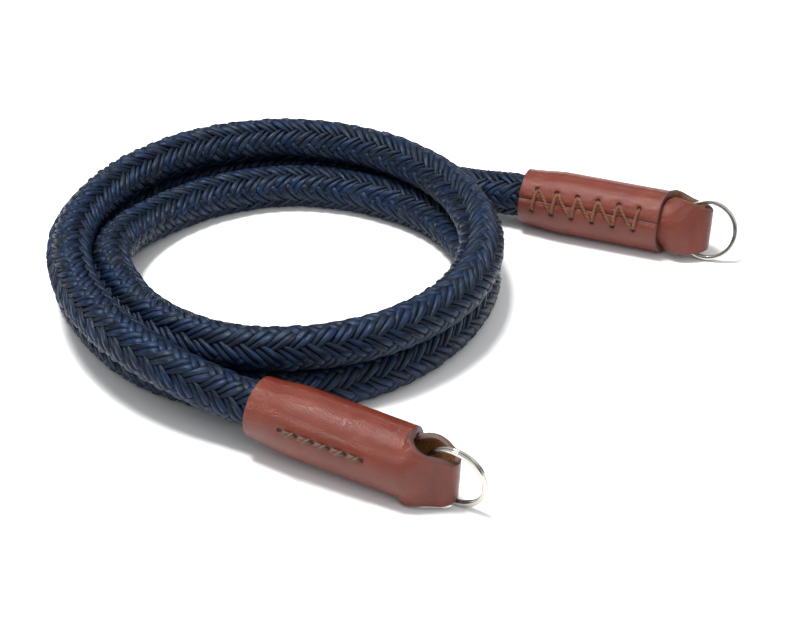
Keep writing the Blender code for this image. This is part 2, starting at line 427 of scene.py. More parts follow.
def new_material(name):
    material = bpy.data.materials.new(name)
    material.use_nodes = True
    return material, Nodes(material.node_tree), material.node_tree.nodes["Principled BSDF"]


# Shader groups


def mottle_group():
    """Soft change from place to place: a mask from 0 to 1 of blotches of the given size in metres."""
    group, given, result = new_group(
        "mottle",
        [("Blotch size", "NodeSocketFloat"), ("Detail", "NodeSocketFloat")],
        [("Mask", "NodeSocketFloat")],
    )
    nodes = Nodes(group)
    place = nodes.object_place()
    scale = nodes.math("DIVIDE", 1.0, given.outputs["Blotch size"])
    noise = nodes.noise(place, scale, given.outputs["Detail"])
    nodes.fill(result, {"Mask": nodes.ramp(noise, 0.32, 0.68)})
    return group


def grain_group():
    """Fine pebbled grain of smooth leather: a height and a mask of its creases."""
    group, given, result = new_group(
        "leather_grain",
        [("Pebble size", "NodeSocketFloat")],
        [("Height", "NodeSocketFloat"), ("Creases", "NodeSocketFloat")],
    )
    nodes = Nodes(group)
    place = nodes.object_place()
    scale = nodes.math("DIVIDE", 1.0, given.outputs["Pebble size"])
    warp = nodes.add("ShaderNodeTexNoise", {"Vector": place, "Scale": nodes.math("MULTIPLY", scale, 0.6)})
    shifted = nodes.vector("SCALE", warp.outputs["Color"], 0.0006)
    bent = nodes.vector("ADD", place, shifted)
    pebbles = nodes.add("ShaderNodeTexVoronoi", {"Vector": bent, "Scale": scale}, feature="DISTANCE_TO_EDGE")
    creases = nodes.ramp(pebbles.outputs["Distance"], 0.0, 0.16, 1.0, 0.0)
    pores = nodes.noise(place, nodes.math("MULTIPLY", scale, 2.7))
    raised = nodes.math("SUBTRACT", 1.0, creases)
    height = nodes.math("MULTIPLY_ADD", pores, 0.7, raised)
    nodes.fill(result, {"Height": height, "Creases": creases})
    return group


def nap_group():
    """Fibres of raw leather: their height, and a mask of those that stand out."""
    inputs = ("Fibres per metre", "Detail", "Roughness")
    group, given, result = new_group(
        "nap",
        [(name, "NodeSocketFloat") for name in inputs],
        [("Height", "NodeSocketFloat"), ("Raised", "NodeSocketFloat")],
    )
    nodes = Nodes(group)
    fibres = nodes.noise(nodes.object_place(), *(given.outputs[name] for name in inputs))
    nodes.fill(result, {"Height": fibres, "Raised": nodes.ramp(fibres, 0.35, 0.7)})
    return group


# Materials


def yarn_material():
    """Dyed yarn of many fine filaments, which run along each yarn of the braid. Each tuft is painted darker
    towards its tail as shade, and lighter at its head as light.
    """
    material, nodes, shader = new_material("navy_yarn")
    # Painted light and shade: lit is the yarn as lit, deep the yarn in shade and in its dark filaments.
    lit = colour(0.0060, 0.018, 0.052)
    deep = colour(0.0004, 0.0007, 0.0018)
    dusty = colour(0.021, 0.025, 0.024)
    uv = nodes.add("ShaderNodeUVMap", uv_map="UVMap").outputs[0]
    tuft = nodes.add("ShaderNodeAttribute", attribute_name="tuft").outputs["Fac"]
    stretched = nodes.vector("MULTIPLY", uv, (1.6, 12.0, 1.0))
    own_shift = nodes.vector("SCALE", (3.1, 7.7, 0.0), nodes.math("MULTIPLY", tuft, 9.0))
    moved = nodes.vector("ADD", stretched, own_shift)
    filaments = nodes.noise(moved, 1.0, 3.0, 0.6)
    strands = nodes.ramp(filaments, 0.34, 0.66)
    along = nodes.add("ShaderNodeSeparateXYZ", {"Vector": uv}).outputs["X"]
    # Painted shade: each tuft darkens towards its tail, where it tucks under its neighbours, and is lightest
    # at its head.
    tail = nodes.ramp(along, 0.05, 0.75)
    wider = nodes.vector("MULTIPLY", moved, (1.7, 0.2, 1.0))
    patches = nodes.noise(wider, 1.0)
    own_tone = nodes.math("MULTIPLY", tuft, 0.1)
    patchy = nodes.math("MULTIPLY_ADD", nodes.ramp(patches, 0.42, 0.60), 0.6, own_tone)
    brightness = nodes.math("MULTIPLY", nodes.math("MULTIPLY_ADD", strands, 0.4, patchy), tail)
    faded = nodes.math("MULTIPLY", nodes.ramp(tuft, 0.30, 0.80), nodes.ramp(filaments, 0.44, 0.62))
    dyed_and_shaded = nodes.mix(brightness, deep, nodes.mix(faded, lit, dusty))
    looks = {
        "Base Color": dyed_and_shaded,
        "Roughness": nodes.ramp(strands, 0.0, 1.0, 0.55, 0.36),
        "Normal": nodes.bump(filaments, 0.9, 0.00035),
        "Specular IOR Level": 0.30,
        "Specular Tint": colour(0.55, 0.70, 1.0),
    }
    nodes.fill(shader, looks)
    return material


def core_material():
    """The rope's dark inside, which shows only between the yarns."""
    material, nodes, shader = new_material("rope_core")
    speckle = nodes.noise(nodes.object_place(), 1500.0)
    tone = nodes.mix(speckle, colour(0.0012, 0.002, 0.0045), colour(0.003, 0.005, 0.011))
    nodes.fill(shader, {"Base Color": tone, "Roughness": 0.9, "Specular IOR Level": 0.1})
    return material


def hole_row_group():
    """A row of punched holes in the leather's own flat measure: 1 in a hole and 0 away from it."""
    inputs = ("Along", "Off row", "Pitch", "Last hole", "Radius")
    group, given, result = new_group(
        "hole_row", [(name, "NodeSocketFloat") for name in inputs], [("Hole", "NodeSocketFloat")]
    )
    nodes = Nodes(group)
    along, off_row, pitch, last, radius = (given.outputs[name] for name in inputs)
    nearest = nodes.math("ROUND", nodes.math("DIVIDE", along, pitch))
    kept = nodes.math("MINIMUM", nodes.math("MAXIMUM", nearest, 0.0), last)
    beside = nodes.math("SUBTRACT", along, nodes.math("MULTIPLY", kept, pitch))
    across = nodes.math("MULTIPLY", off_row, off_row)
    far = nodes.math("SQRT", nodes.math("MULTIPLY_ADD", beside, beside, across))
    mask = nodes.ramp(nodes.math("DIVIDE", far, radius), 0.75, 1.25, 1.0, 0.0)
    nodes.fill(result, {"Hole": mask})
    return group


def punched(nodes, hole_row):
    """Mask of all the holes: one row on the smooth side and one on each side of the seam."""
    flat = nodes.add("ShaderNodeAttribute", attribute_name="hide").outputs["Vector"]
    along, around, from_seam = nodes.add("ShaderNodeSeparateXYZ", {"Vector": flat}).outputs
    upper = nodes.math("GREATER_THAN", around, 0.0)
    lag = nodes.math("MULTIPLY_ADD", upper, LACE_LAG, FIRST_LACE)
    rows = (
        (FIRST_STITCH, nodes.math("SUBTRACT", around, STITCH_OFF_MIDDLE), STITCH_PITCH, STITCH_HOLES - 1),
        (lag, nodes.math("SUBTRACT", from_seam, LACE_OFF_SEAM), LACE_PITCH, LACE_HOLES - 1),
    )
    masks = []
    for first, off_row, pitch, last in rows:
        from_first = nodes.math("SUBTRACT", along, first)
        inputs = dict(enumerate((from_first, off_row, pitch, last, HOLE_RADIUS)))
        masks.append(nodes.add("ShaderNodeGroup", inputs, node_tree=hole_row).outputs["Hole"])
    return nodes.math("MAXIMUM", *masks)


def leather_material(mottle, grain, hole_row):
    """Smooth reddish brown leather, darker in its creases, and painted near black in and round its holes for
    the shade inside them.
    """
    material, nodes, shader = new_material("leather_face")
    blotched = nodes.add("ShaderNodeGroup", {"Blotch size": 0.009, "Detail": 4.0}, node_tree=mottle)
    blotch = blotched.outputs["Mask"]
    height, creases = nodes.add("ShaderNodeGroup", {"Pebble size": 0.00042}, node_tree=grain).outputs
    holes = punched(nodes, hole_row)
    body = nodes.mix(blotch, colour(0.115, 0.0130, 0.0030), colour(0.146, 0.0190, 0.0044))
    creased = nodes.mix(nodes.math("MULTIPLY", creases, 0.25), body, colour(0.075, 0.012, 0.005))
    # Painted shade: the holes are not cut through, so each is painted near black where the shade inside it
    # would be.
    with_painted_hole_shade = nodes.mix(holes, creased, colour(0.008, 0.003, 0.002))
    polish = nodes.math("MULTIPLY_ADD", blotch, 0.04, 0.14)
    dulled = nodes.math("MULTIPLY_ADD", creases, 0.10, polish)
    grained = nodes.bump(height, 0.42, 0.00024)
    looks = {
        "Base Color": with_painted_hole_shade,
        "Roughness": nodes.math("MULTIPLY_ADD", holes, 0.5, dulled),
        "Normal": nodes.bump(nodes.math("SUBTRACT", 1.0, holes), 1.0, 0.0008, over=grained),
        "Specular IOR Level": 0.45,
    }
    nodes.fill(shader, looks)
    return material


def suede_material(nap):
    """The leather's flesh side: ochre, matt and fibrous."""
    material, nodes, shader = new_material("leather_flesh")
    fibres = {"Fibres per metre": 2600.0, "Detail": 5.0, "Roughness": 0.7}
    height, raised = nodes.add("ShaderNodeGroup", fibres, node_tree=nap).outputs
    patch = nodes.noise(nodes.object_place(), 420.0)
    ochre = nodes.mix(patch, colour(0.330, 0.140, 0.030), colour(0.640, 0.310, 0.080))
    tone = nodes.mix(raised, colour(0.180, 0.072, 0.020), ochre)
    nodes.fill(shader, {"Base Color": tone, "Roughness": 0.95, "Normal": nodes.bump(height, 0.8, 0.0002)})
    return material


def edge_material(nap):
    """The cut edge, burnished darker and a little violet."""
    material, nodes, shader = new_material("leather_edge")
    fibres = {"Fibres per metre": 1800.0, "Detail": 4.0, "Roughness": 0.6}
    height, raised = nodes.add("ShaderNodeGroup", fibres, node_tree=nap).outputs
    tone = nodes.mix(raised, colour(0.042, 0.014, 0.011), colour(0.098, 0.034, 0.025))
    nodes.fill(shader, {"Base Color": tone, "Roughness": 0.6, "Normal": nodes.bump(height, 0.6, 0.00012)})
    return material


def thread_material(name, dark, light):
    """Waxed thread, lighter and darker from place to place."""
    material, nodes, shader = new_material(name)
    place = nodes.object_place()
    fluff = nodes.noise(place, 5200.0, 3.0)
    wax = nodes.noise(place, 500.0, 1.0)
    looks = {
        "Base Color": nodes.mix(nodes.math("MULTIPLY", fluff, wax), dark, light),
        "Roughness": nodes.ramp(wax, 0.3, 0.7, 0.55, 0.75),
        "Normal": nodes.bump(fluff, 0.5, 0.0001),
    }
    nodes.fill(shader, looks)
    return material


def nickel_material():
    """Polished nickel plate with faint rubbing."""
    material, nodes, shader = new_material("polished_nickel")
    place = nodes.object_place()
    rubbed = nodes.noise(place, 900.0, 5.0, 0.7)
    cloud = nodes.noise(place, 160.0)
    tone = nodes.mix(cloud, colour(0.43, 0.41, 0.37), colour(0.62, 0.60, 0.55))
    roughness = nodes.ramp(rubbed, 0.35, 0.75, 0.10, 0.26)
    nodes.fill(shader, {"Base Color": tone, "Roughness": roughness, "Metallic": 1.0})
    return material


def floor_material():
    """Pale, nearly even paper."""
    material, nodes, shader = new_material("pale_floor")
    haze = nodes.noise(nodes.object_place(), 3.0)
    tone = nodes.mix(haze, colour(0.92, 0.925, 0.93), colour(0.94, 0.945, 0.95))
    nodes.fill(shader, {"Base Color": tone, "Roughness": 0.7})
    return material


# Rope


def end_axis(end):
    heading = math.radians(end["heading"])
    tip_height = RING_DIAMETER / 2 + end["tip_lift"]
    rise = (tip_height - end["start"].z) / (SLEEVE_LENGTH + LOOP_REACH)
    level = math.sqrt(1 - rise**2)
    return Vector((level * math.cos(heading), level * math.sin(heading), rise))


def coil_knots():
    pitch = ROPE_DIAMETER + TURN_GAP
    knots = []
    for row in COIL_ROWS:
        at = dict(zip(COIL_COLUMNS, row))
        angle = -math.radians(at["turned"])
        radius = COIL_RADIUS + at["out"] * pitch
        height = ROPE_DIAMETER / 2 + at["up"] * pitch - UPPER_TURN_SETTLES * ease(at["up"] / SETTLED_FROM)
        knots.append(COIL_CENTRE + Vector((radius * math.cos(angle), radius * math.sin(angle), height)))
    return knots


def rope_knots():
    axis_a = end_axis(END_A)
    axis_b = end_axis(END_B)
    inside_a = [END_A["start"] + axis_a * ROPE_TUCK * share for share in (1.0, 0.5, 0.0)]
    inside_b = [END_B["start"] + axis_b * ROPE_TUCK * share for share in (0.0, 0.5, 1.0)]
    last_turn_height = ROPE_DIAMETER / 2
    before_b = END_B["start"] - axis_b * RUN_TO_B
    before_b.z = (END_B["start"].z * 2 + last_turn_height) / 3
    return inside_a + coil_knots() + [before_b] + inside_b


def tuft_template():
    """One float of the braid: two yarns side by side along x, from tail to head, lying on z = 0."""
    form = bmesh.new()
    uv_layer = form.loops.layers.uv.new("UVMap")
    for side in (-1, 1):
        rings = []
        for row in YARN_ROWS:
            at = dict(zip(YARN_COLUMNS, row))
            x = TUFT_TAIL - at["along"] * (TUFT_TAIL + TUFT_HEAD)
            half = at["width"] * YARN_WIDTH / 2
            thick = (THICKNESS_AT_POINT + (1 - THICKNESS_AT_POINT) * at["width"]) * YARN_THICKNESS / 2
            spread = SPREAD_AT_POINT + (1 - SPREAD_AT_POINT) * at["width"]
            middle = side * YARN_WIDTH * YARN_SPREAD * spread
            rise = (at["rise"] - 1.0) * YARN_THICKNESS - YARN_THICKNESS / 2
            ring = []
            for k in range(YARN_SIDES):
                turn = 2 * math.pi * (k + 0.5) / YARN_SIDES
                ring.append(
                    form.verts.new((x, middle + half * math.cos(turn), rise + thick * math.sin(turn)))
                )
            rings.append(ring)
        for i, (before, after) in enumerate(zip(rings, rings[1:])):
            for k in range(YARN_SIDES):
                near = (k + 1) % YARN_SIDES
                face = form.faces.new((before[k], before[near], after[near], after[k]))
                across = (k / YARN_SIDES, (k + 1) / YARN_SIDES)
                along = (YARN_ROWS[i][0], YARN_ROWS[i + 1][0])
                corners = ((0, 0), (0, 1), (1, 1), (1, 0))
                for loop, (which_along, which_across) in zip(face.loops, corners):
                    loop[uv_layer].uv = (along[which_along], across[which_across] + side)
        form.faces.new(list(reversed(rings[0])))
        form.faces.new(rings[-1])
    bmesh.ops.recalc_face_normals(form, faces=form.faces)
    return object_of(form, "tuft")


def braid_tree():
    """Geometry nodes: lays tufts out flat in rows and columns, then wraps them round the rope's line."""
    tree = bpy.data.node_groups.new("braid", "GeometryNodeTree")
    wanted = (
        ("Tuft", "NodeSocketObject"),
        ("Line", "NodeSocketObject"),
        ("Tufts along", "NodeSocketInt"),
        ("Columns", "NodeSocketInt"),
        ("Pitch", "NodeSocketFloat"),
        ("Along shift", "NodeSocketFloat"),
        ("Round shift", "NodeSocketFloat"),
        ("Slant", "NodeSocketFloat"),
        ("Radius", "NodeSocketFloat"),
        ("Girth", "NodeSocketFloat"),
        ("Floor", "NodeSocketFloat"),
        ("Seed", "NodeSocketInt"),
        ("Material", "NodeSocketMaterial"),
    )
    for name, kind in wanted:
        tree.interface.new_socket(name, in_out="INPUT", socket_type=kind)
    tree.interface.new_socket("Geometry", in_out="OUTPUT", socket_type="NodeSocketGeometry")
    nodes = Nodes(tree)
    given = tree.nodes.new("NodeGroupInput").outputs
    count = nodes.math("MULTIPLY", given["Tufts along"], given["Columns"])
    points = nodes.add("GeometryNodePoints", {"Count": count})
    index = nodes.add("GeometryNodeInputIndex").outputs[0]
    row = nodes.math("FLOOR", nodes.math("DIVIDE", nodes.math("ADD", index, 0.01), given["Columns"]))
    column = nodes.math("SUBTRACT", index, nodes.math("MULTIPLY", row, given["Columns"]))
    along = nodes.math("MULTIPLY", nodes.math("ADD", row, given["Along shift"]), given["Pitch"])
    share = nodes.math("DIVIDE", nodes.math("ADD", column, given["Round shift"]), given["Columns"])
    around = nodes.math("MULTIPLY", share, given["Girth"])
    jitter = nodes.add(
        "FunctionNodeRandomValue",
        {0: JITTER_LOW, 1: JITTER_HIGH, "Seed": given["Seed"]},
        data_type="FLOAT_VECTOR",
    ).outputs[0]
    flat = nodes.add("ShaderNodeCombineXYZ", {"X": along, "Y": around})
    shaken = nodes.vector("ADD", flat.outputs[0], jitter)
    placed = nodes.add("GeometryNodeSetPosition", {"Geometry": points.outputs[0], "Position": shaken})
    tilt = nodes.random(-TILT_JITTER, TILT_JITTER, given["Seed"])
    turn = nodes.add("ShaderNodeCombineXYZ", {"Z": nodes.math("ADD", given["Slant"], tilt)})
    size = nodes.random(*SIZE_JITTER, given["Seed"])
    template = nodes.add("GeometryNodeObjectInfo", {"Object": given["Tuft"]}, transform_space="ORIGINAL")
    laid = nodes.add(
        "GeometryNodeInstanceOnPoints",
        {
            "Points": placed.outputs[0],
            "Instance": template.outputs["Geometry"],
            "Rotation": turn.outputs[0],
            "Scale": size,
        },
    )
    shade = nodes.random(0.0, 1.0, nodes.math("ADD", given["Seed"], 7))
    named = nodes.add(
        "GeometryNodeStoreNamedAttribute",
        {"Geometry": laid.outputs[0], "Name": "tuft", "Value": shade},
        data_type="FLOAT",
        domain="INSTANCE",
    )
    real = nodes.add("GeometryNodeRealizeInstances", {"Geometry": named.outputs[0]})
    wrap = wrapped_position(nodes, given)
    bent = nodes.add("GeometryNodeSetPosition", {"Geometry": real.outputs[0], "Position": wrap})
    dyed_and_shaded = nodes.add("GeometryNodeSetMaterial", {"Geometry": bent.outputs[0], "Material": given["Material"]})
    nodes.add("NodeGroupOutput", {"Geometry": dyed_and_shaded.outputs[0]})
    return tree


def wrapped_position(nodes, given):
    """Where a point of the flat lay-out goes on the rope: x along its line, y round it and z outwards."""
    flat_position = nodes.add("GeometryNodeInputPosition").outputs[0]
    place = nodes.add("ShaderNodeSeparateXYZ", {"Vector": flat_position}).outputs
    line = nodes.add("GeometryNodeObjectInfo", {"Object": given["Line"]}, transform_space="ORIGINAL")
    sample = nodes.add(
        "GeometryNodeSampleCurve",
        {"Curves": line.outputs["Geometry"], "Length": place["X"]},
        mode="LENGTH",
    )
    normal = sample.outputs["Normal"]
    side = nodes.vector("CROSS_PRODUCT", sample.outputs["Tangent"], normal)
    angle = nodes.math("MULTIPLY", nodes.math("DIVIDE", place["Y"], given["Girth"]), 2 * math.pi)
    out = nodes.math("ADD", given["Radius"], place["Z"])
    over = nodes.vector("SCALE", normal, nodes.math("MULTIPLY", out, nodes.math("COSINE", angle)))
    beside = nodes.vector("SCALE", side, nodes.math("MULTIPLY", out, nodes.math("SINE", angle)))
    found = nodes.vector("ADD", sample.outputs["Position"], nodes.vector("ADD", over, beside))
    split = nodes.add("ShaderNodeSeparateXYZ", {"Vector": found}).outputs
    lifted = nodes.math("MAXIMUM", split["Z"], given["Floor"])
    return nodes.add("ShaderNodeCombineXYZ", {"X": split["X"], "Y": split["Y"], "Z": lifted}).outputs[0]


def add_braid(name, tree, line, tuft, length, way, slant, material):
    holder = link(bpy.data.objects.new(name + "_nodes", bpy.data.meshes.new(name + "_nodes")))
    modifier = holder.modifiers.new("braid", "NODES")
    modifier.node_group = tree
    values = {
        "Tuft": tuft,
        "Line": line,
        "Tufts along": int(length / TUFT_PITCH) - 1,
        "Columns": COLUMNS_EACH_WAY,
        "Pitch": TUFT_PITCH,
        "Along shift": FIRST_ROW + way["along"],
        "Round shift": way["round"],
        "Slant": math.radians(slant),
        "Radius": BRAID_DIAMETER / 2,
        "Girth": math.pi * (BRAID_DIAMETER - YARN_THICKNESS * YARN_SINK),
        "Floor": FLOOR_SKIN,
        "Seed": way["seed"],
        "Material": material,
    }
    for item in tree.interface.items_tree:
        if item.item_type == "SOCKET" and item.in_out == "INPUT":
            modifier[item.identifier] = values[item.name]
    return as_mesh(holder, name)


def add_rope(yarn, core):
    points = smooth_curve(rope_knots(), ROPE_STEP)
    line = poly_curve("rope_line", points)
    length = length_of(points)
    tuft = tuft_template()
    tree = braid_tree()
    left = add_braid("braid_left", tree, line, tuft, length, LEFT_BRAID, TUFT_SLANT, yarn)
    right = add_braid("braid_right", tree, line, tuft, length, RIGHT_BRAID, -TUFT_SLANT, yarn)
    bpy.data.objects.remove(tuft, do_unlink=True)
    bpy.data.objects.remove(line, do_unlink=True)
    heart = poly_curve("rope_core", points, CORE_DIAMETER / 2, 3)
    heart.data.materials.append(core)
    for piece in (left, right, heart):
        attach(piece, BODY)
        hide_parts("rope")


# Leather ends


def sleeve_radius(x):
    """Radius of the middle of the leather wall at x."""
    diameter = ENTRY_DIAMETER + (SLEEVE_DIAMETER - ENTRY_DIAMETER) * ease(x / FLARE_LENGTH)
    return (diameter - LEATHER) / 2


def shoulder_extra(step):
    """How far the tongue reaches past its straight side, at a step along its round shoulder."""
    return SHOULDER_REACH * (1 - math.sin(math.pi / 2 * step / SHOULDER_STEPS))


def tongue_columns():
    """Columns of the tongue: share of its straight half width, and how far past its straight side."""
    straight = [(2 * k / AROUND_TONGUE - 1, 0.0) for k in range(AROUND_TONGUE + 1)]
    extra = [shoulder_extra(step) for step in reversed(range(SHOULDER_STEPS))]
    return [(-1.0, -e) for e in reversed(extra)] + straight + [(1.0, e) for e in extra]


def half_width(along, fold_along, whole):
    """Half the width of the tongue's straight part. It narrows to the fold and widens again to its tail."""
    if along < fold_along:
        width = TONGUE_WIDTH + (FOLD_WIDTH - TONGUE_WIDTH) * ease(along / LOOP_REACH)
    else:
        share = (along - fold_along) / (whole - fold_along - TAIL_TUCK)
        width = FOLD_WIDTH + (TAIL_WIDTH - FOLD_WIDTH) * ease(share)
    return width / 2 - PINCH * math.exp(-(((along - fold_along) / PINCH_LENGTH) ** 2))


def loop_path():
    """Middle line of the tongue as (x, y, curl), out to the fold and back into the sleeve."""
    fold_radius = (FOLD_GAP + LEATHER) / 2
    fold_x = SLEEVE_LENGTH + LOOP_REACH - LEATHER / 2 - fold_radius
    outer = sleeve_radius(SLEEVE_LENGTH)
    inner = outer - LEATHER - TAIL_CLEARANCE
    out, back = [], []
    for row in LOOP_ROWS:
        at = dict(zip(LOOP_COLUMNS, row))
        x = SLEEVE_LENGTH + (fold_x - SLEEVE_LENGTH) * at["reach"]
        out.append(Vector((x, fold_radius + (outer - fold_radius) * at["front"], at["curl"] / outer)))
        back.append(Vector((x, -fold_radius - (inner - fold_radius) * at["back"], at["curl"] / inner)))
    fold = []
    for k in range(1, FOLD_STEPS):
        angle = math.pi * (0.5 - k / FOLD_STEPS)
        curl = LOOP_ROWS[-1][-1] / outer
        fold.append(Vector((fold_x + fold_radius * math.cos(angle), fold_radius * math.sin(angle), curl)))
    tail = [Vector((SLEEVE_LENGTH - TAIL_TUCK * share, -inner, 1 / inner)) for share in (0.5, 1.0)]
    return out + fold + list(reversed(back)) + tail


def loop_stations():
    """Rows of the tongue after its root: place, curl, outward direction, half width and shoulder's reach."""
    knots = [Vector((p.x, p.y, p.z * CURL_AS_LENGTH)) for p in loop_path()]
    dense = smooth_curve(knots, LOOP_STEP)
    travelled = [0.0]
    for before, after in zip(dense, dense[1:]):
        travelled.append(travelled[-1] + (after - before).xy.length)
    whole = travelled[-1]
    fold_along = travelled[max(range(len(dense)), key=lambda i: dense[i].x)]
    wanted = []
    for k in range(1, SHOULDER_STEPS + 1):
        along = SHOULDER_LENGTH * (1 - math.cos(math.pi / 2 * k / SHOULDER_STEPS))
        wanted.append((along, shoulder_extra(k)))
    rest = math.ceil((whole - SHOULDER_LENGTH) / TONGUE_STEP)
    wanted += [(SHOULDER_LENGTH + (whole - SHOULDER_LENGTH) * k / rest, 0.0) for k in range(1, rest + 1)]
    outer = sleeve_radius(SLEEVE_LENGTH)
    stations = []
    for along, reach in wanted:
        eased = ease(along / ROOT_EASING)
        i = min(bisect.bisect_left(travelled, along), len(dense) - 2)
        ahead = (dense[i + 1] - dense[i - 1]).xy.normalized()
        station = {
            "x": dense[i].x,
            "y": outer + (dense[i].y - outer) * eased,
            "curl": 1 / outer + (dense[i].z / CURL_AS_LENGTH - 1 / outer) * eased,
            "along": along,
            "outward": Vector((0, 1)).lerp(Vector((-ahead.y, ahead.x)), eased).normalized(),
            "half_width": half_width(along, fold_along, whole),
            "reach": reach,
        }
        stations.append(station)
    return stations


def rolled(x, y, z, end):
    """Turns a point of the section round the leather end's axis by its roll there."""
    share = ease((x - SLEEVE_LENGTH) / LOOP_REACH)
    roll = math.radians(end["roll"] + (end["fold_roll"] - end["roll"]) * share)
    y *= end["smooth_side"]
    turned = -roll if end["smooth_side"] < 0 else roll
    cosine, sine = math.cos(turned), math.sin(turned)
    return Vector((x, y * cosine - z * sine, y * sine + z * cosine))


def end_place(end):
    """Matrix of the leather end: x along its axis, z upwards."""
    along = end_axis(end)
    side = Vector((0, 0, 1)).cross(along).normalized()
    up = along.cross(side)
    turn = Matrix((along, side, up)).transposed()
    return Matrix.Translation(end["start"]) @ turn.to_4x4()


def sleeve_point(end, x, off_smooth, lift):
    """A point over the sleeve's outer face, off_smooth away round the face from the smooth side's line."""
    radius = sleeve_radius(x) + LEATHER / 2
    angle = off_smooth / radius
    reach = radius + lift
    place = end_place(end) @ rolled(x, reach * math.cos(angle), reach * math.sin(angle), end)
    place.z = max(place.z, lift)
    return place


def seam_distance(x):
    """Distance round the outer face from the smooth side's line to the seam."""
    return math.pi * (sleeve_radius(x) + LEATHER / 2)


def stitch_holes():
    return [(FIRST_STITCH + STITCH_PITCH * k, STITCH_OFF_MIDDLE) for k in range(STITCH_HOLES)]


def lace_holes(side):
    """Holes along one side of the seam, as x and distance round the face. The upper row lags behind."""
    holes = []
    for k in range(LACE_HOLES):
        x = FIRST_LACE + LACE_PITCH * k + (LACE_LAG if side > 0 else 0.0)
        holes.append((x, side * (seam_distance(x) - LACE_OFF_SEAM)))
    return holes


def sink(x, around, holes):
    """How far the wall lies in at a place, round the holes and towards the seam."""
    deep = 0.0
    for hole_x, hole_around in holes:
        far = math.hypot(x - hole_x, around - hole_around) / DIMPLE_RADIUS
        deep = max(deep, DIMPLE_DEPTH * math.exp(-far * far))
    near_seam = max(0.0, 1 - (seam_distance(x) - abs(around)) / SEAM_SINK_WIDTH)
    return deep + SEAM_SINK * near_seam * near_seam


def add_sleeve_columns(form, hide, end, place):
    """The wall of the sleeve, one column of points for each step along it."""
    tongue = [share * TONGUE_WIDTH / 2 + extra for share, extra in tongue_columns()]
    half_turn = math.pi * sleeve_radius(SLEEVE_LENGTH) - SEAM_GAP / 2
    root = tongue[-1]
    flank = [root + (half_turn - root) * (k + 1) / AROUND_FLANK for k in range(AROUND_FLANK)]
    arcs = [-arc for arc in reversed(flank)] + tongue + flank
    holes = stitch_holes() + lace_holes(-1) + lace_holes(1)
    columns = []
    for k in range(ALONG_SLEEVE + 1):
        x = SLEEVE_LENGTH * k / ALONG_SLEEVE
        radius = sleeve_radius(x)
        full = math.pi - SEAM_GAP / 2 / radius
        column = []
        for arc in arcs:
            angle = full * arc / half_turn
            around = angle * (radius + LEATHER / 2)
            low = radius - sink(x, around, holes)
            vertex = form.verts.new(place @ rolled(x, low * math.cos(angle), low * math.sin(angle), end))
            vertex[hide] = (x, around, seam_distance(x) - abs(around))
            column.append(vertex)
        columns.append(column)
    return columns


def add_tongue_columns(form, hide, end, place):
    """The tongue, out to the fold and back into the sleeve. Columns past its edge share the edge's point."""
    columns = []
    for station in loop_stations():
        x, y, curl, outward = (station[key] for key in ("x", "y", "curl", "outward"))
        made = {}
        column = []
        for share, extra in tongue_columns():
            reach = math.copysign(min(abs(extra), station["reach"]), extra)
            across = share * station["half_width"] + reach
            across -= end["tongue_drop"] * ease(station["along"] / LOOP_REACH)
            key = round(across / MERGE_DISTANCE)
            if key not in made:
                bulge = -(1 - math.cos(across * curl)) / curl
                side = math.sin(across * curl) / curl
                local = rolled(x + outward.x * bulge, y + outward.y * bulge, side, end)
                made[key] = form.verts.new(place @ local)
                made[key][hide] = (SLEEVE_LENGTH + station["along"], across, FAR_FROM_SEAM)
            column.append(made[key])
        columns.append(column)
    return columns


def add_strips(form, columns):
    for before, after in zip(columns, columns[1:]):
        for k in range(len(before) - 1):
            corners = []
            for vertex in (before[k], after[k], after[k + 1], before[k + 1]):
                if vertex not in corners:
                    corners.append(vertex)
            if len(corners) > 2:
                form.faces.new(corners)


def turn_outwards(form, place):
    """Faces of the sleeve look away from its axis, and those of the loop go with them."""
    form.normal_update()
    form.faces.ensure_lookup_table()
    first = form.faces[0]
    middle = place.inverted() @ first.calc_center_median()
    outward = place.to_3x3() @ Vector((0, middle.y, middle.z))
    if first.normal.dot(outward) < 0:
        bmesh.ops.reverse_faces(form, faces=form.faces)
    form.normal_update()


def edge_directions(form):
    """For each point of the open edge, the direction out of the leather in its own plane."""
    found = {}
    for edge in form.edges:
        if edge.is_boundary:
            loop = edge.link_loops[0]
            start, stop = loop.vert, loop.link_loop_next.vert
            out = (stop.co - start.co).normalized().cross(loop.face.normal)
            for vertex in (start, stop):
                found[vertex] = found.get(vertex, Vector()) + out
    return {vertex: out.normalized() for vertex, out in found.items()}


def rim_point(vertex, out, step):
    """A point of the rounded edge, from the smooth face at step 0 to the flesh at the last step."""
    turn = math.pi / 2 - math.pi * step / RIM_STEPS
    over = math.copysign(abs(math.sin(turn)) ** RIM_SQUARENESS, math.sin(turn))
    beyond = abs(math.cos(turn)) ** RIM_SQUARENESS
    return vertex.co + vertex.normal * over * LEATHER / 2 + out * beyond * RIM_BULGE


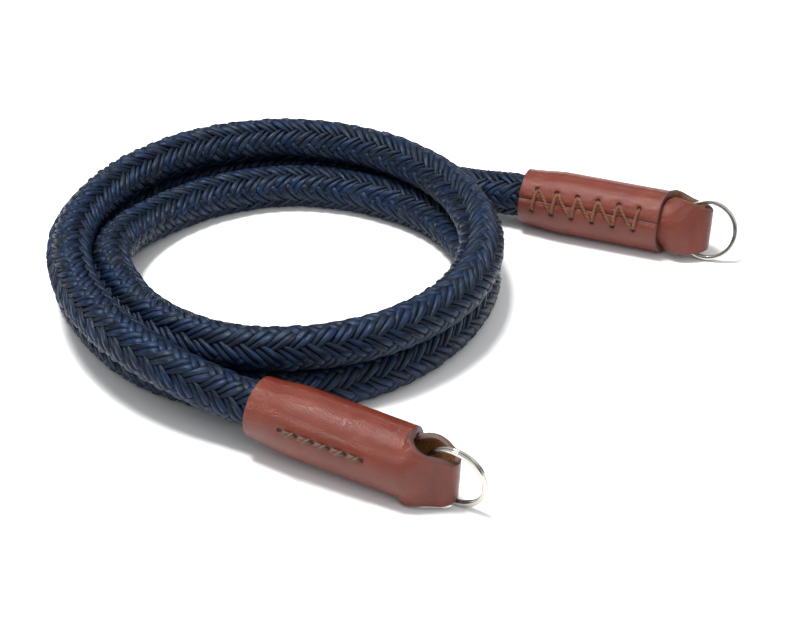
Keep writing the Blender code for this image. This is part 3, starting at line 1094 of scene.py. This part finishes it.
def thicken(form, hide):
    """Gives the wall its smooth face, its flesh and a rounded edge, with a material for each."""
    middle = list(form.verts)
    middle_faces = list(form.faces)
    outs = edge_directions(form)
    borders = [edge.link_loops[0] for edge in form.edges if edge.is_boundary]
    borders = [(loop.vert, loop.link_loop_next.vert) for loop in borders]
    layers = {}
    for vertex in middle:
        out = outs.get(vertex)
        steps = range(RIM_STEPS + 1) if out else (0, RIM_STEPS)
        layers[vertex] = {}
        for step in steps:
            made = form.verts.new(rim_point(vertex, out or Vector(), step))
            made[hide] = vertex[hide]
            layers[vertex][step] = made
    for face in middle_faces:
        corners = [loop.vert for loop in face.loops]
        form.faces.new([layers[v][0] for v in corners]).material_index = 0
        form.faces.new([layers[v][RIM_STEPS] for v in reversed(corners)]).material_index = 1
    for start, stop in borders:
        for step in range(RIM_STEPS):
            above, below = step, step + 1
            corners = (layers[stop][above], layers[start][above], layers[start][below], layers[stop][below])
            form.faces.new(corners).material_index = 2
    bmesh.ops.delete(form, geom=middle, context="VERTS")


def add_leather_end(end, face, flesh, edge):
    place = end_place(end)
    form = bmesh.new()
    hide = form.verts.layers.float_vector.new("hide")
    sleeve = add_sleeve_columns(form, hide, end, place)
    add_strips(form, sleeve)
    root = sleeve[-1][AROUND_FLANK:-AROUND_FLANK]
    add_strips(form, [root] + add_tongue_columns(form, hide, end, place))
    for vertex in form.verts:
        vertex.co.z = max(vertex.co.z, LEATHER / 2)
    turn_outwards(form, place)
    thicken(form, hide)
    leather = object_of(form, "leather_" + end["name"])
    for material in (face, flesh, edge):
        leather.data.materials.append(material)
    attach(leather, BODY)
    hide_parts("leather_end_" + end["name"])


# Sewing


def twisted(name, points, diameter, turns_per_metre):
    """A thread of plies laid round each other along the points. No thread runs along ASKEW."""
    line = smooth_curve(points, diameter / 4)
    strands = []
    for ply in range(PLIES):
        strand = []
        travelled = 0.0
        for i, point in enumerate(line):
            ahead = (line[min(i + 1, len(line) - 1)] - line[max(i - 1, 0)]).normalized()
            side = ahead.cross(ASKEW).normalized()
            over = side.cross(ahead)
            if i:
                travelled += (point - line[i - 1]).length
            angle = 2 * math.pi * (travelled * turns_per_metre + ply / PLIES)
            off = side * math.cos(angle) + over * math.sin(angle)
            strand.append(point + off * diameter * PLY_OFF_MIDDLE)
        strands.append(poly_curve(f"{name}_{ply}", strand, diameter * PLY_RADIUS))
    return strands


def add_stitches(end, thread):
    """Five stitches between the six holes of the smooth side, each sunk at its ends."""
    holes = stitch_holes()
    strands = []
    for k, ((x0, around), (x1, _)) in enumerate(zip(holes, holes[1:])):
        points = [sleeve_point(end, x0 + (x1 - x0) * share, around, lift) for share, lift in STITCH_ROWS]
        strands += twisted(f"stitch_{end['name']}_{k}", points, STITCH_THREAD, STITCH_TWIST)
    finish_thread(f"stitches_{end['name']}", strands, thread)


def add_lacing(end, thread):
    """Zigzag across the seam: each upper hole has a thread to its own lower hole and one to the next."""
    upper, lower = lace_holes(1), lace_holes(-1)
    strands = []
    for k in range(LACE_HOLES):
        strands += lace_run(end, f"{k}_across", upper[k], lower[k])
        if k + 1 < LACE_HOLES:
            strands += lace_run(end, f"{k}_on", upper[k], lower[k + 1])
    finish_thread(f"lacing_{end['name']}", strands, thread)


def lace_run(end, tag, start, finish):
    """One thread over the seam from hole to hole, sunk at its ends."""
    points = []
    for share, lift in LACE_ROWS:
        x = start[0] + (finish[0] - start[0]) * share
        begin = start[1] if start[1] > 0 else start[1] + 2 * seam_distance(x)
        stop = finish[1] if finish[1] > 0 else finish[1] + 2 * seam_distance(x)
        points.append(sleeve_point(end, x, begin + (stop - begin) * share, lift))
    return twisted(f"lace_{end['name']}_{tag}", points, LACE_THREAD, LACE_TWIST)


def finish_thread(name, strands, thread):
    made = joined(name, strands, thread)
    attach(made, BODY)


# Split rings


def ring_points():
    """Middle of the wire: one coil, the step across, and the other coil, round the ring's own z."""
    radius = (RING_DIAMETER - WIRE_RADIAL) / 2
    shift = (WIRE_AXIAL + COIL_GAP) / 2
    last = 360 + STEP_FROM - WIRE_END_GAP
    first = STEP_TO - 360 + WIRE_END_GAP
    steps = round((last - first) / 360 * RING_POINTS_PER_TURN)
    points = []
    for k in range(steps + 1):
        angle = first + (last - first) * k / steps
        side = 2 * ease((angle - STEP_FROM) / (STEP_TO - STEP_FROM)) - 1
        turn = math.radians(angle)
        points.append(Vector((radius * math.cos(turn), radius * math.sin(turn), side * shift)))
    return points


def ring_place(ring, end):
    """The ring stands on the floor, and its wire crosses the tongue's edges a set way behind the tip."""
    wire_radius = (RING_DIAMETER - WIRE_RADIAL) / 2
    to_crossing = math.sqrt(wire_radius**2 - (FOLD_WIDTH / 2) ** 2)
    centre = end["start"] + end_axis(end) * (SLEEVE_LENGTH + LOOP_REACH - WIRE_BEHIND_TIP + to_crossing)
    lean = math.radians(ring["lean"])
    half_axial = WIRE_AXIAL + COIL_GAP / 2
    centre.z = RING_DIAMETER / 2 * math.cos(lean) + half_axial * abs(math.sin(lean)) + FLOOR_CLEARANCE
    upright = Matrix.Rotation(math.radians(90) + lean, 4, "X")
    spin = Matrix.Rotation(math.radians(ring["step_at"]), 4, "Z")
    heading = Matrix.Rotation(math.radians(end["heading"]), 4, "Z")
    return Matrix.Translation(centre) @ heading @ upright @ spin


def wire_section():
    """Outline of the flat wire, with well rounded corners."""
    outline = bpy.data.curves.new("wire_section", "CURVE")
    outline.dimensions = "2D"
    spline = outline.splines.new("POLY")
    spline.points.add(WIRE_SECTION_POINTS - 1)
    for k, target in enumerate(spline.points):
        turn = -2 * math.pi * (k + 0.5) / WIRE_SECTION_POINTS
        across = math.copysign(abs(math.cos(turn)) ** WIRE_SQUARENESS, math.cos(turn))
        up = math.copysign(abs(math.sin(turn)) ** WIRE_SQUARENESS, math.sin(turn))
        target.co = (across * WIRE_RADIAL / 2, up * WIRE_AXIAL / 2, 0, 1)
    spline.use_cyclic_u = True
    return link(bpy.data.objects.new("wire_section", outline))


def add_ring(end, ring, section, metal):
    wire = poly_curve("wire_" + end["name"], ring_points())
    wire.data.twist_mode = "Z_UP"
    wire.data.bevel_mode = "OBJECT"
    wire.data.bevel_object = section
    wire.data.use_fill_caps = True
    wire.matrix_world = ring_place(ring, end)
    bpy.context.view_layer.update()
    made = joined("split_ring_" + end["name"], [wire], metal)
    made.data.set_sharp_from_angle(angle=math.radians(WIRE_SHARP_ANGLE))
    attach(made, BODY)
    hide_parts("ring_" + end["name"])


# Studio


def add_floor():
    bpy.ops.mesh.primitive_plane_add(size=6.0, location=(0, 0, 0))
    floor = bpy.context.active_object
    floor.name = "floor"
    floor.data.materials.append(floor_material())


def add_area_light(name, lamp):
    light = bpy.data.lights.new(name, "AREA")
    light.shape = "SQUARE"
    light.size = lamp["size"]
    light.energy = lamp["power"]
    holder = link(bpy.data.objects.new(name, light))
    holder.location = lamp["place"]
    holder.rotation_euler = (LIGHTS_AIM - lamp["place"]).to_track_quat("-Z", "Y").to_euler()


def add_studio():
    world = bpy.data.worlds.new("studio")
    bpy.context.scene.world = world
    world.use_nodes = True
    nodes = Nodes(world.node_tree)
    direction = nodes.add("ShaderNodeTexCoord").outputs["Generated"]
    upwards = nodes.add("ShaderNodeSeparateXYZ", {"Vector": direction})
    height = nodes.ramp(upwards.outputs["Z"], 0.10, 0.80)
    sky = nodes.mix(height, colour(0.17, 0.18, 0.20), colour(1.0, 1.0, 1.0))
    nodes.fill(world.node_tree.nodes["Background"], {"Color": sky, "Strength": SKY_STRENGTH})
    add_floor()
    add_area_light("key", KEY)
    add_area_light("front_fill", FRONT_FILL)
    bpy.context.scene.view_settings.view_transform = "Standard"


def add_camera():
    data = bpy.data.cameras.new("camera")
    data.lens = CAMERA_LENS
    data.sensor_width = 36
    camera = link(bpy.data.objects.new("camera", data))
    camera.location = CAMERA_PLACE
    camera.rotation_euler = (math.radians(90 - CAMERA_DOWN), 0, 0)
    bpy.context.scene.camera = camera


def build():
    add_camera()
    add_rope(yarn_material(), core_material())
    face = leather_material(mottle_group(), grain_group(), hole_row_group())
    nap = nap_group()
    flesh = suede_material(nap)
    edge = edge_material(nap)
    umber, sand = colour(0.018, 0.008, 0.004), colour(0.300, 0.150, 0.090)
    chestnut, tan = colour(0.050, 0.016, 0.006), colour(0.380, 0.140, 0.055)
    stitch_thread = thread_material("stitch_thread", umber, sand)
    lace_thread = thread_material("lace_thread", chestnut, tan)
    nickel = nickel_material()
    section = wire_section()
    for end, ring in ((END_A, RING_A), (END_B, RING_B)):
        add_leather_end(end, face, flesh, edge)
        add_stitches(end, stitch_thread)
        add_lacing(end, lace_thread)
        add_ring(end, ring, section, nickel)
    bpy.data.objects.remove(section, do_unlink=True)
    add_studio()


build()
